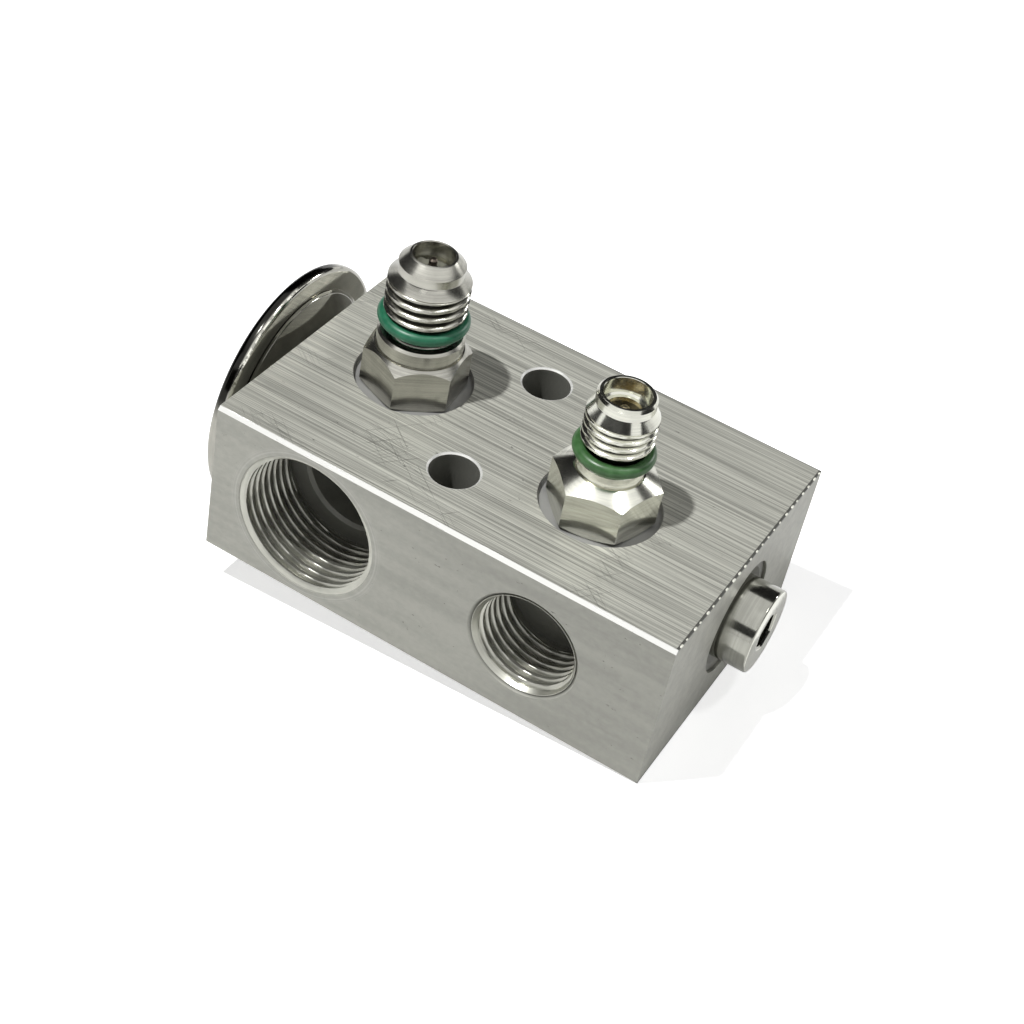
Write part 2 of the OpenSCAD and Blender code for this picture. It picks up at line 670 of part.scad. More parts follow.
// Valve core: drawn downwards from the top of its body at z = 0
module core_body() {
    bore = core_pin_d + 2 * fit;
    color([0.72, 0.60, 0.28]) difference() {
        union() {
            rod_between(core_head_d, -core_head_length, -core_slot_depth);
            intersection() {
                rod_between(core_head_d, -core_head_length, 0);
                translate([-core_head_d / 2, -core_bridge / 2, -core_head_length])
                    cube([core_head_d, core_bridge, core_head_length]);
            }
            cone_between(core_barrel_d, core_head_d - 2 * core_cone_inset,
                core_cone_start - core_shoulder, -core_head_length);
            rod_between(core_barrel_d, -core_length, -core_head_length);
        }
        rod_between(bore, -core_length - overlap, overlap);
        rod_between(core_room_d, core_room_low, -core_cap_t);
    }
}
module core_pin(pin_top) {
    collar_top = -core_cap_t - seat;
    color([0.45, 0.36, 0.22]) union() {
        rod_between(core_pin_d, -core_length - pin_cup_t, pin_top - pin_tip);
        cone_between(core_pin_d, core_pin_d - 2 * pin_tip, pin_top - pin_tip, pin_top);
        rod_between(core_room_d - 4 * fit, collar_top - pin_collar_t, collar_top);
    }
}
module core_seal() {
    seal_top = -core_length - seat;
    color([0.08, 0.08, 0.08]) difference() {
        rod_between(pin_cup_d, seal_top - pin_cup_t, seal_top);
        rod_between(core_pin_d, seal_top - pin_cup_t - overlap, seal_top + overlap);
    }
}
module core_spring() {
    room = -core_cap_t - pin_collar_t - seat - core_room_low;
    color([0.6, 0.6, 0.58]) translate([0, 0, core_room_low + seat])
        coil(core_pin_d + core_wire_d + coil_gap, core_wire_d, core_spring_turns,
            room - 2 * seat, 16, 6);
}
module in_suction_core() {
    on_suction_port() translate([0, 0, suction_port_height - suction_core_depth]) children();
}
module in_liquid_core() {
    on_liquid_port() translate([0, 0, liquid_port_height - liquid_core_depth]) children();
}
module suction_core_body() {
    in_suction_core() core_body();
}
module suction_core_pin() {
    in_suction_core() core_pin(suction_core_depth - suction_pin_depth);
}
module suction_core_seal() {
    in_suction_core() core_seal();
}
module suction_core_spring() {
    in_suction_core() core_spring();
}
module liquid_core_body() {
    in_liquid_core() core_body();
}
module liquid_core_pin() {
    in_liquid_core() core_pin(liquid_core_depth - liquid_pin_depth);
}
module liquid_core_seal() {
    in_liquid_core() core_seal();
}
module liquid_core_spring() {
    in_liquid_core() core_spring();
}

valve_body();
power_element_housing();
power_element_cover();
diaphragm();
charge_plug();
head_seal();
stop_plate();
push_rod();
rod_seal();
rod_seal_retainer();
valve_ball();
ball_carrier();
valve_spring();
adjuster_plug();
adjuster_seal();
suction_service_port();
suction_port_ring();
suction_base_seal();
suction_core_body();
suction_core_pin();
suction_core_seal();
suction_core_spring();
liquid_service_port();
liquid_port_ring();
liquid_base_seal();
liquid_core_body();
liquid_core_pin();
liquid_core_seal();
liquid_core_spring();
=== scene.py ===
# Block expansion valve: turned parts, threads, burr, finishes, light and camera
import json
import math

import bmesh
import bpy
from mathutils import Matrix, Vector


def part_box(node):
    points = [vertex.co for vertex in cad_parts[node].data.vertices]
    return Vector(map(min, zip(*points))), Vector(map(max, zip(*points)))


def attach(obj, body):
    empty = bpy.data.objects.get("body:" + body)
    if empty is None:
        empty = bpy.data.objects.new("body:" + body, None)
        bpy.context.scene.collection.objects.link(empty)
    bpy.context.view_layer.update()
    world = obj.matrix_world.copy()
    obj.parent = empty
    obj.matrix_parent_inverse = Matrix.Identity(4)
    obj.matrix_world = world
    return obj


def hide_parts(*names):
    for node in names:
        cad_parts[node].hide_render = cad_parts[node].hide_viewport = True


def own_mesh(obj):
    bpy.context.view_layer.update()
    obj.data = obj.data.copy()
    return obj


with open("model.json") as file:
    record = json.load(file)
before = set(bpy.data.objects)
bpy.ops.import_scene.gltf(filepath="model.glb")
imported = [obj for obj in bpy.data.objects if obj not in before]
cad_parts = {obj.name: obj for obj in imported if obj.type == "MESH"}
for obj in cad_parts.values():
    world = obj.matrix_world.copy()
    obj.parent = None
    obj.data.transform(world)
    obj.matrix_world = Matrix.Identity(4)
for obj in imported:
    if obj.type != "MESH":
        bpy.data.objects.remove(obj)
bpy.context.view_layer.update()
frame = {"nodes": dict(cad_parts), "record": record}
mm = 0.001
mounts = {mount["name"]: mount for mount in frame["record"]["mounts"]}
blockLow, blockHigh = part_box("valve_body")
plugLow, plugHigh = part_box("adjuster_plug")
plugMiddle = (plugLow + plugHigh) / 2
print("frame loaded:", len(frame["nodes"]), "nodes")


# Node trees: a socket that does sums, and one way to add any other node
class Wire:
    def __init__(self, nodes, socket):
        self.nodes = nodes
        self.socket = socket

    def sum(self, operation, *others):
        node = self.nodes.tree.nodes.new("ShaderNodeMath")
        node.operation = operation
        for place, value in enumerate((self, *others)):
            self.nodes.plug(node.inputs[place], value)
        return Wire(self.nodes, node.outputs[0])

    def __add__(self, other):
        return self.sum("ADD", other)

    def __radd__(self, other):
        return self.sum("ADD", other)

    def __sub__(self, other):
        return self.sum("SUBTRACT", other)

    def __rsub__(self, other):
        return self.nodes.number(other).sum("SUBTRACT", self)

    def __mul__(self, other):
        return self.sum("MULTIPLY", other)

    def __rmul__(self, other):
        return self.sum("MULTIPLY", other)

    def __truediv__(self, other):
        return self.sum("DIVIDE", other)

    def __rtruediv__(self, other):
        return self.nodes.number(other).sum("DIVIDE", self)

    def __pow__(self, other):
        return self.sum("POWER", other)

    def least(self, other):
        return self.sum("MINIMUM", other)

    def most(self, other):
        return self.sum("MAXIMUM", other)

    def above(self, other):
        return self.sum("GREATER_THAN", other)

    def below(self, other):
        return self.sum("LESS_THAN", other)

    def size(self):
        return self.sum("ABSOLUTE")

    def fraction(self):
        return self.sum("FRACT")

    def unit(self):
        return self.most(0.0).least(1.0)

    def ramp(self, start, end):
        # 0 at start, 1 at end, smooth between
        return self.nodes.add("ShaderNodeMapRange", {"interpolation_type": "SMOOTHSTEP"},
                              {"Value": self, "From Min": start, "From Max": end})

    def band(self, rise, fall):
        # Goes up to 1 over the first stretch and back to 0 over the second
        return self.ramp(*rise) * (1 - self.ramp(*fall))

    def out(self, name):
        return Wire(self.nodes, self.socket.node.outputs[name])


class Nodes:
    def __init__(self, tree):
        self.tree = tree

    def plug(self, target, value):
        if isinstance(value, Wire):
            self.tree.links.new(value.socket, target)
        else:
            target.default_value = value

    def number(self, value):
        return self.add("ShaderNodeValue", {}, {}, value)

    def add(self, kind, settings=None, values=None, fixed=None):
        node = self.tree.nodes.new(kind)
        for name, value in (settings or {}).items():
            if name == "stops":
                stops = node.color_ramp.elements
                while len(stops) < len(value):
                    stops.new(0.5)
                for stop, (place, colour) in zip(stops, value):
                    stop.position = place
                    stop.color = colour
            else:
                setattr(node, name, value)
        for name, value in (values or {}).items():
            self.plug(node.inputs[name], value)
        if fixed is not None:
            node.outputs[0].default_value = fixed
        return Wire(self, node.outputs[0]) if len(node.outputs) else None

    def blend(self, factor, first, second):
        # The colour sockets of this node are its inputs 6 and 7 and its output 2
        node = self.tree.nodes.new("ShaderNodeMix")
        node.data_type = "RGBA"
        for place, value in ((0, factor), (6, first), (7, second)):
            self.plug(node.inputs[place], value)
        return Wire(self, node.outputs[2])

    def scaled(self, vector, factors):
        return self.add("ShaderNodeVectorMath", {"operation": "MULTIPLY"}, {0: vector, 1: factors})

    def noise(self, vector, factors=(1, 1, 1), detail=2.0, rough=0.5):
        return self.add("ShaderNodeTexNoise", {},
                        {"Vector": self.scaled(vector, factors), "Scale": 1.0, "Detail": detail,
                         "Roughness": rough})


neutral = (1, 1, 0.89)  # the bare metal's tone


# A grey of the given level, shifted by a tone
def tinted(value, tone=neutral):
    return (value * tone[0], value * tone[1], value * tone[2], 1)


# A material whose tree starts from the place on the object in millimetres
def newMaterial(name, fixed):
    material = bpy.data.materials.new(name)
    material.use_nodes = True
    nodes = Nodes(material.node_tree)
    shader = material.node_tree.nodes["Principled BSDF"]
    for socket, value in fixed.items():
        shader.inputs[socket].default_value = value
    place = nodes.scaled(nodes.add("ShaderNodeTexCoord").out("Object"), (1 / mm, 1 / mm, 1 / mm))
    return material, nodes, shader, place


# The x, y and z of a vector
def splitUp(nodes, vector):
    parts = nodes.add("ShaderNodeSeparateXYZ", {}, {"Vector": vector})
    return parts, parts.out("Y"), parts.out("Z")


# Sum of values, each times its share
def mixed(values, shares):
    total, *others = [value * share for value, share in zip(values, shares)]
    for other in others:
        total = total + other
    return total


def bumpFrom(nodes, shader, height, distance, strength=1.0):
    bump = nodes.add("ShaderNodeBump", {}, {"Height": height, "Distance": distance * mm,
                                            "Strength": strength})
    nodes.plug(shader.inputs["Normal"], bump)


# Cap threads of the two service ports, in mm: axis on the top face, crest radius, lower and
# upper end, and the depths over which painted shade darkens the grooves
suctionCap = {"axis": (-15.4, 0.8), "crest": 5.94, "low": 11.9, "high": 17.0, "dark": (0.2, 0.5)}
liquidCap = {"axis": (18.8, -5.0), "crest": 5.0, "low": 11.2, "high": 16.0, "dark": (0.3, 0.55)}

# Block: colours, places in mm, and the shares and ranges by which they mix
faceSlack = 0.02  # a point this near to a face, in mm, lies on it
edgeSlack = 0.03
blockFinish = {
    "metallic": 0.25,
    "topDark": tinted(0.27),
    "topLight": tinted(0.625),
    "topRange": (0.38, 0.62),
    "topShares": (0.2, 0.42, 0.31, 0.07),
    "topRough": (0.34, 0.06),
    "sideDark": tinted(0.37),
    "sideLight": tinted(0.47),
    "sideRange": (0.3, 0.7),
    "sideShares": (0.6, 0.4),
    "sideRough": (0.42, 0.08),
    # share of the painted shade that grows towards the front face's right end
    "rightShade": 0.2,
    # painted shade inside the block, deeper than boreDepths in mm below the outer faces
    "bore": tinted(0.2),
    "boreDepths": (0.0, 0.35),
    "boreShare": 0.85,
    "holeRadius": 3.6,
    "holeBevel": 0.25,
    "holeSpacing": 25.4,
    # painted shade inside the mounting holes
    "holeInside": tinted(0.2),
    "holeSlack": 0.05,
    "holeDepths": (0.2, 1.0),
    "holeShare": 0.9,
    "seatPlaces": (suctionCap["axis"], liquidCap["axis"]),
    "seatRadius": 8.85,
    "seatDepth": 1.05,
    # painted shade on the seats under the service ports
    "seatColour": tinted(0.3, (1, 1, 0.97)),
    "portCentre": (-15.9, 12.7),
    "portRings": ((11.5, 11.7), (12.3, 12.8)),
    "latheStep": (4.0, 1, 1),
    "latheRange": (0.45, 0.6),
    "latheShare": 0.16,
    # colour of the pits, and of the painted shade towards the front face's right end
    "pit": tinted(0.06),
    "pitRange": (0.7, 0.735),
    "pitShare": 0.75,
    "scratches": ((38, 0.16, 0.7), (-52, 0.2, 0.71), (12, 0.18, 0.72)),
    "scratchShare": 0.4,
    # painted shade along the right and rear top edges
    "edge": tinted(0.10),
    "edgeWidth": 0.34,
    # painted highlight on the front top edge and the hole rims, also the colour of the lathe rings
    "frontEdge": tinted(0.86, (1, 1, 0.96)),
    "frontEdgeWidth": 0.5,
    "edgePolish": 0.4,
    "bumpShares": (0.7, 1.0, 0.3),
    "sideBump": 0.3,
    "scratchBump": 0.5,
    "lineBump": 0.055,
}
# Its noises: how fast each one changes along x, y and z, its detail and its roughness
blockNoises = {
    "broad": ((0.012, 0.32, 0.32), 3, 0.5),
    "lines": ((0.02, 1.5, 1.5), 3, 0.65),
    "fine": ((0.035, 4.2, 4.2), 2, 0.6),
    "hair": ((0.03, 9.0, 9.0), 1, 0.5),
    "soft": ((0.05, 0.5, 0.5), 3, 0.5),
    "mottle": ((0.8, 1.2, 1.2), 3, 0.6),
    "specks": ((0.7, 1.9, 1.9), 3, 0.65),
}
scratch = {"along": 0.1, "blur": 0.03, "spots": (0.07, 0.07, 0.07), "spotRange": (0.55, 0.65)}
blockMiddle = (blockLow + blockHigh) / 2 / mm
blockHalf = (blockHigh - blockLow) / 2 / mm


# Lines drawn across a face at an angle in degrees: thin where the stretched noise goes over
# the least value, and only in a few spots
def scratchMask(nodes, place, angle, step, least):
    turned = nodes.add("ShaderNodeVectorRotate", {"rotation_type": "Z_AXIS"},
                       {"Vector": place, "Angle": math.radians(angle)})
    line = nodes.noise(turned, (scratch["along"], 1 / step, scratch["along"]), 0)
    spots = nodes.noise(place, scratch["spots"], 1).ramp(*scratch["spotRange"])
    return line.ramp(least, least + scratch["blur"]) * spots


# How far a point lies from the nearest outer face, on one axis
def insideOn(axis, value):
    return blockHalf[axis] - (value - blockMiddle[axis]).size()


def distanceFrom(x, y, centre):
    return ((x - centre[0]) ** 2 + (y - centre[1]) ** 2) ** 0.5


def blockAluminium():
    finish = blockFinish
    material, nodes, shader, place = newMaterial("blockAluminium",
                                                 {"Metallic": finish["metallic"]})
    x, y, z = splitUp(nodes, place)
    fromSides, fromFronts, fromTops = insideOn(0, x), insideOn(1, y), insideOn(2, z)
    topFace = z.above(blockHigh.z / mm - faceSlack)
    frontFace = y.below(blockLow.y / mm + faceSlack)
    broad, lines, fine, hair, soft, mottle, specks = (
        nodes.noise(place, *settings) for settings in blockNoises.values())

    # Brushed top, and matt sides with painted shade growing towards the front's right
    brushed = mixed((lines, fine, hair, broad), finish["topShares"]).ramp(*finish["topRange"])
    top = nodes.blend(brushed, finish["topDark"], finish["topLight"])
    matt = mixed((soft, mottle), finish["sideShares"]).ramp(*finish["sideRange"])
    side = nodes.blend(matt, finish["sideDark"], finish["sideLight"])
    rightwardShade = frontFace * x.ramp(-blockHalf.x, blockHalf.x) * finish["rightShade"]
    side = nodes.blend(rightwardShade, side, finish["pit"])
    colour = nodes.blend(topFace, side, top)

    # Pits and scratches, and painted shade along the right and rear top edges
    first, second, third = (scratchMask(nodes, place, *line) for line in finish["scratches"])
    scratches = (first + second + third).unit() * topFace
    pits = specks.ramp(*finish["pitRange"])
    marks = mixed((pits, scratches), (finish["pitShare"], finish["scratchShare"])).unit()
    colour = nodes.blend(marks, colour, finish["pit"])
    width = finish["edgeWidth"]
    farSides = (x.above(blockHigh.x / mm - width) + y.above(blockHigh.y / mm - width)).unit()
    edgeShade = fromTops.below(width) * z.above(0.0) * farSides
    colour = nodes.blend(edgeShade, colour, finish["edge"])

    # Painted shade inside the block, in the mounting holes, and on the seats under the service
    # ports
    depth = fromSides.least(fromFronts).least(fromTops)
    boreShade = depth.ramp(*finish["boreDepths"]) * finish["boreShare"]
    colour = nodes.blend(boreShade, colour, finish["bore"])
    fromHole = distanceFrom(x, y.size(), (0, finish["holeSpacing"] / 2))
    holeShade = (fromHole.below(finish["holeRadius"] + finish["holeSlack"])
              * fromTops.ramp(*finish["holeDepths"]) * finish["holeShare"])
    colour = nodes.blend(holeShade, colour, finish["holeInside"])
    for seatPlace in finish["seatPlaces"]:
        seatShade = (distanceFrom(x, y, seatPlace).below(finish["seatRadius"])
                  * fromTops.above(edgeSlack) * fromTops.below(finish["seatDepth"])
                  * z.above(0.0))
        colour = nodes.blend(seatShade, colour, finish["seatColour"])

    # Lathe rings round the large front port, and a painted highlight on the front edge and the hole
    # rims
    fromPort = distanceFrom(x, z, finish["portCentre"])
    lathe = nodes.noise(nodes.add("ShaderNodeCombineXYZ", {}, {"X": fromPort}),
                        finish["latheStep"], 2)
    traced = fromPort.band(*finish["portRings"]) * frontFace
    rings = lathe.ramp(*finish["latheRange"]) * traced * finish["latheShare"]
    colour = nodes.blend(rings, colour, finish["frontEdge"])
    cornerLine = (y - blockLow.y / mm) + (blockHigh.z / mm - z)
    frontEdge = cornerLine.below(finish["frontEdgeWidth"] + edgeSlack)
    holeRimHighlight = (fromHole.below(finish["holeRadius"] + finish["holeBevel"] + edgeSlack)
               * fromTops.below(finish["holeBevel"] + edgeSlack))
    bright = frontEdge.most(holeRimHighlight)
    colour = nodes.blend(bright, colour, finish["frontEdge"])
    nodes.plug(shader.inputs["Base Color"], colour)

    topRough, topSpread = finish["topRough"]
    sideRough, sideSpread = finish["sideRough"]
    rough = (topFace * (topRough + topSpread * hair)
             + (1 - topFace) * (sideRough + sideSpread * soft))
    nodes.plug(shader.inputs["Roughness"], rough * (1 - finish["edgePolish"] * bright))
    height = (mixed((fine, lines, hair), finish["bumpShares"]) * topFace
              + soft * (1 - topFace) * finish["sideBump"] - pits
              - scratches * finish["scratchBump"])
    bumpFrom(nodes, shader, height, finish["lineBump"])
    return material


# Metal with the fine rings left by the lathe, a step in mm apart and running round the axis.
# Zones of it can have levels of their own.
lathed = {"round": 0.03, "ringDetail": (3, 0.6), "smear": ((0.3, 0.3, 0.3), 3),
          "shares": (0.6, 0.4), "range": (0.3, 0.7), "smearRough": 0.12, "strength": 0.5}


def turnedMetal(name, dark, light, rough, ringStep=0.25, axis="Z", metallic=1.0, tone=neutral,
                bump=0.004, zones=()):
    material, nodes, shader, place = newMaterial(name, {"Metallic": metallic})
    along = [1 / ringStep if letter == axis else lathed["round"] for letter in "XYZ"]
    rings = nodes.noise(place, along, *lathed["ringDetail"])
    smear = nodes.noise(place, *lathed["smear"])
    share = mixed((rings, smear), lathed["shares"]).ramp(*lathed["range"])
    colour = nodes.blend(share, tinted(dark, tone), tinted(light, tone))
    for zone, level in zones:
        colour = nodes.blend(zone(nodes, place), colour, tinted(level, tone))
    nodes.plug(shader.inputs["Base Color"], colour)
    nodes.plug(shader.inputs["Roughness"], rough + lathed["smearRough"] * smear)
    bumpFrom(nodes, shader, rings, bump, lathed["strength"])
    return material


# Zones, in mm: depths below the block's faces, heights over its top face, and on the power
# element radii, heights and sideways places from its axis and distances from the block's end
zoneSizes = {
    "deep": (3.0, 15.0), "deepShare": 0.75,
    # radii, back end and shares of the painted dark reflection on the element's flange
    "tint": ((9.0, 10.0), (17.4, 18.7)), "tintBack": -3.6, "tintShares": (0.7, 0.3),
    "clouds": ((0.16, 0.16, 0.16), 2), "cloudRange": (0.35, 0.65),
    "cleanRadii": (15.2, 16.2), "cleanRange": (7.5, 10.0), "cleanShares": (0.45, 0.55),
    "rimRadius": 18.5, "rimFront": (-3.5, -3.3), "rimSideways": (6.0, 10.0),
    "rimHeights": (4.0, 8.0), "crestRadius": 18.7, "crest": ((-3.3, -3.22), (-2.96, -2.9)),
    "crestSideways": (-2.0, 2.0), "runs": ((0.7, 0.7, 0.7), 2, 0.6), "runRange": (0.43, 0.5),
    "seat": ((8.7, 8.9), (11.0, 11.2)), "seatShare": 0.9,
    "grooveShare": 0.9, "plugFace": 0.05,
}


# Painted shade on the female threads' far ends, out of the light
def deepShade(nodes, place):
    y = splitUp(nodes, place)[1]
    return insideOn(1, y).ramp(*zoneSizes["deep"]) * zoneSizes["deepShare"]


# A point on the power element: distance from the block's left end, sideways, up and radius
def elementPlace(nodes, place):
    x, y, z = splitUp(nodes, place)
    across, up = y - plugMiddle.y / mm, z - plugMiddle.z / mm
    return x - blockLow.x / mm, across, up, (across ** 2 + up ** 2) ** 0.5


# Painted dark reflection on the element's flange, all round but at the back
def flangeDarkReflection(nodes, place):
    sizes = zoneSizes
    x, across, up, radius = elementPlace(nodes, place)
    towardsBack = mixed((across, up), sizes["cleanShares"])
    brightBack = radius.ramp(*sizes["cleanRadii"]) * towardsBack.ramp(*sizes["cleanRange"])
    clouds = nodes.noise(place, *sizes["clouds"]).ramp(*sizes["cloudRange"])
    ring = radius.band(*sizes["tint"]) * (1 - brightBack)
    plain, cloudy = sizes["tintShares"]
    return ring * x.above(sizes["tintBack"]) * (plain + cloudy * clouds)


# The upper part of its rolled rim: painted dark reflection outside, and painted highlight along the
# crest in short runs
def rimDarkReflection(nodes, place):
    sizes = zoneSizes
    x, across, up, radius = elementPlace(nodes, place)
    return (radius.above(sizes["rimRadius"]) * (1 - x.ramp(*sizes["rimFront"]))
            * up.ramp(*sizes["rimHeights"]) * (1 - across.ramp(*sizes["rimSideways"])))


# Painted highlight along the rim's crest, in short runs
def rimCrestHighlight(nodes, place):
    sizes = zoneSizes
    x, across, up, radius = elementPlace(nodes, place)
    runs = nodes.noise(place, *sizes["runs"]).ramp(*sizes["runRange"])
    return (radius.above(sizes["crestRadius"]) * x.band(*sizes["crest"])
            * up.ramp(*sizes["rimHeights"]) * (1 - across.ramp(*sizes["crestSideways"])) * runs)


# Painted shade on the turned neck under a service port's round seal, out of the light
def sealSeatShade(nodes, place):
    height = splitUp(nodes, place)[2] - blockHigh.z / mm
    return height.band(*zoneSizes["seat"]) * zoneSizes["seatShare"]


# Painted shade in the grooves of a service port's cap thread
def grooveShade(cap):
    def zone(nodes, place):
        x, y, z = splitUp(nodes, place)
        height = z - blockHigh.z / mm
        depth = cap["crest"] - distanceFrom(x, y, cap["axis"])
        onThread = height.above(cap["low"]) * height.below(cap["high"])
        return depth.ramp(*cap["dark"]) * onThread * zoneSizes["grooveShare"]
    return zone


# Painted light on the adjuster plug's end face
def plugFace(nodes, place):
    x = splitUp(nodes, place)[0]
    return x.above(plugHigh.x / mm - zoneSizes["plugFace"])


rubber = {"dust": ((0.8, 0.8, 0.8), 4, 0.6), "dustRange": (0.35, 0.75), "dustLight": (1.35, 0.01),
          "dustRough": 0.15, "grain": ((6, 6, 6), 2), "grainBump": (0.006, 0.4)}


def seal(name, colour, rough):
    material, nodes, shader, place = newMaterial(name, {"Metallic": 0.0})
    dust = nodes.noise(place, *rubber["dust"])
    gain, lift = rubber["dustLight"]
    dusty = tuple(min(1, part * gain + lift) for part in colour[:3]) + (1,)
    nodes.plug(shader.inputs["Base Color"],
               nodes.blend(dust.ramp(*rubber["dustRange"]), colour, dusty))
    nodes.plug(shader.inputs["Roughness"], rough + rubber["dustRough"] * dust)
    bumpFrom(nodes, shader, nodes.noise(place, *rubber["grain"]), *rubber["grainBump"])
    return material


# Every finish by name; a metal has its darkest and lightest level, and its zones have theirs
warmSteel = (1, 0.985, 0.88)
brassTone = (1, 0.85, 0.55)
darkTone = (1, 0.85, 0.7)
finishes = {
    "block": blockAluminium(),
    "thread": turnedMetal("threadAluminium", 0.42, 0.62, rough=0.3, ringStep=0.5, axis="Y",
                          metallic=0.9, bump=0.002, zones=((deepShade, 0.2),)),
    "element": turnedMetal("elementSteel", 0.38, 0.52, rough=0.06, ringStep=1.2, axis="X",
                           tone=warmSteel, bump=0.002,
                           zones=((flangeDarkReflection, 0.23), (rimDarkReflection, 0.03), (rimCrestHighlight, 0.98))),
    "bright": turnedMetal("brightSteel", 0.34, 0.46, rough=0.08, ringStep=0.3, axis="X",
                          zones=((plugFace, 0.8),)),
    "portSteel": turnedMetal("portSteel", 0.38, 0.56, rough=0.17, ringStep=0.22,
                             tone=warmSteel, zones=((sealSeatShade, 0.03),
                                                    (grooveShade(suctionCap), 0.06))),
    "portPlating": turnedMetal("portPlating", 0.66, 0.86, rough=0.1, ringStep=0.3, bump=0.003,
                               zones=((sealSeatShade, 0.03), (grooveShade(liquidCap), 0.08))),
    "burr": turnedMetal("burrAluminium", 0.80, 0.95, rough=0.35, metallic=0.4),
    "brass": turnedMetal("coreBrass", 0.34, 0.56, rough=0.18, ringStep=0.3, tone=brassTone),
    "darkPin": turnedMetal("darkPinSteel", 0.10, 0.16, rough=0.3, ringStep=0.3, tone=darkTone),
    "suctionRing": seal("suctionRingRubber", (0.011, 0.125, 0.062, 1), 0.3),
    "liquidRing": seal("liquidRingRubber", (0.04, 0.115, 0.034, 1), 0.27),
    "blackSeal": seal("blackRubber", (0.012, 0.012, 0.012, 1), 0.5),
}
print("finishes:", len(finishes))


# Meshes
def asPiece(name, mesh, body, finish, nodesReplaced=(), sharp=26.0):
    for polygon in mesh.polygons:
        polygon.use_smooth = True
    mesh.set_sharp_from_angle(angle=math.radians(sharp))
    mesh.materials.clear()
    mesh.materials.append(finishes[finish])
    piece = bpy.data.objects.new(name, mesh)
    bpy.context.scene.collection.objects.link(piece)
    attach(piece, body)
    if nodesReplaced:
        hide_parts(*nodesReplaced)
    return piece


def cleaned(mesh, distance=1e-7, recalculate=True):
    work = bmesh.new()
    work.from_mesh(mesh)
    bmesh.ops.remove_doubles(work, verts=work.verts, dist=distance)
    bmesh.ops.dissolve_degenerate(work, edges=work.edges, dist=distance)
    if recalculate:
        bmesh.ops.recalc_face_normals(work, faces=work.faces)
    work.to_mesh(mesh)
    work.free()
    return mesh


# A closed section of (radius, height) in mm, turned about the local z axis of a place.
# A row with a third entry is trimmed to a hexagon of that width across flats, and one with a
# fourth rises by that much for each mm that the trimming takes off.
def turnedMesh(name, place, section, turn=0.0, around=180):
    points = []
    for radius, height, *flats in section:
        for step in range(around):
            angle = 2 * math.pi * step / around
            reach, lift = radius, 0.0
            if flats:
                offCentre = angle % (math.pi / 3) - math.pi / 6
                reach = min(radius, flats[0] / 2 / math.cos(offCentre))
                lift = (radius - reach) * flats[1] if len(flats) > 1 else 0.0
            points.append((reach * math.cos(angle + turn) * mm, reach * math.sin(angle + turn) * mm,
                           (height + lift) * mm))
    rows = len(section)
    faces = [(i * around + j, i * around + (j + 1) % around,
              (i + 1) % rows * around + (j + 1) % around, (i + 1) % rows * around + j)
             for i in range(rows) for j in range(around)]
    mesh = bpy.data.meshes.new(name)
    mesh.from_pydata(points, [], faces)
    mesh.transform(place)
    return cleaned(mesh)


# Round stretch of a section between two angles
def arc(radius, height, bend, start, end, steps=8):
    return [(radius + bend * math.cos(math.radians(a)), height + bend * math.sin(math.radians(a)))
            for a in (start + (end - start) * i / steps for i in range(steps + 1))]


# Bevelled hexagon from its lower face to its upper one
def hexRows(low, high, flats, lowRound, highRound, lowDrop, highDrop):
    corner = flats / 2 / math.cos(math.pi / 6)
    return [(lowRound, low), (corner, low + lowDrop, flats, -lowDrop / (corner - lowRound)),
            (corner, high - highDrop, flats, highDrop / (corner - highRound)), (highRound, high)]


# Places: over a service port's axis, and along the valve's axis from the block's left end
def portPlace(mount):
    x, y = mounts[mount]["pos_m"][:2]
    return Matrix.Translation((x, y, blockHigh.z))


valvePlace = (Matrix.Translation((blockLow.x, plugMiddle.y, plugMiddle.z))
              @ Matrix.Rotation(math.radians(90), 4, "Y"))


# Thread: a sleeve of ridges that follow a helix, for outside and inside threads. Its rows go
# from the back at the foot up the ridges, to the back at the top and down to the foot again.
extraRows = 4


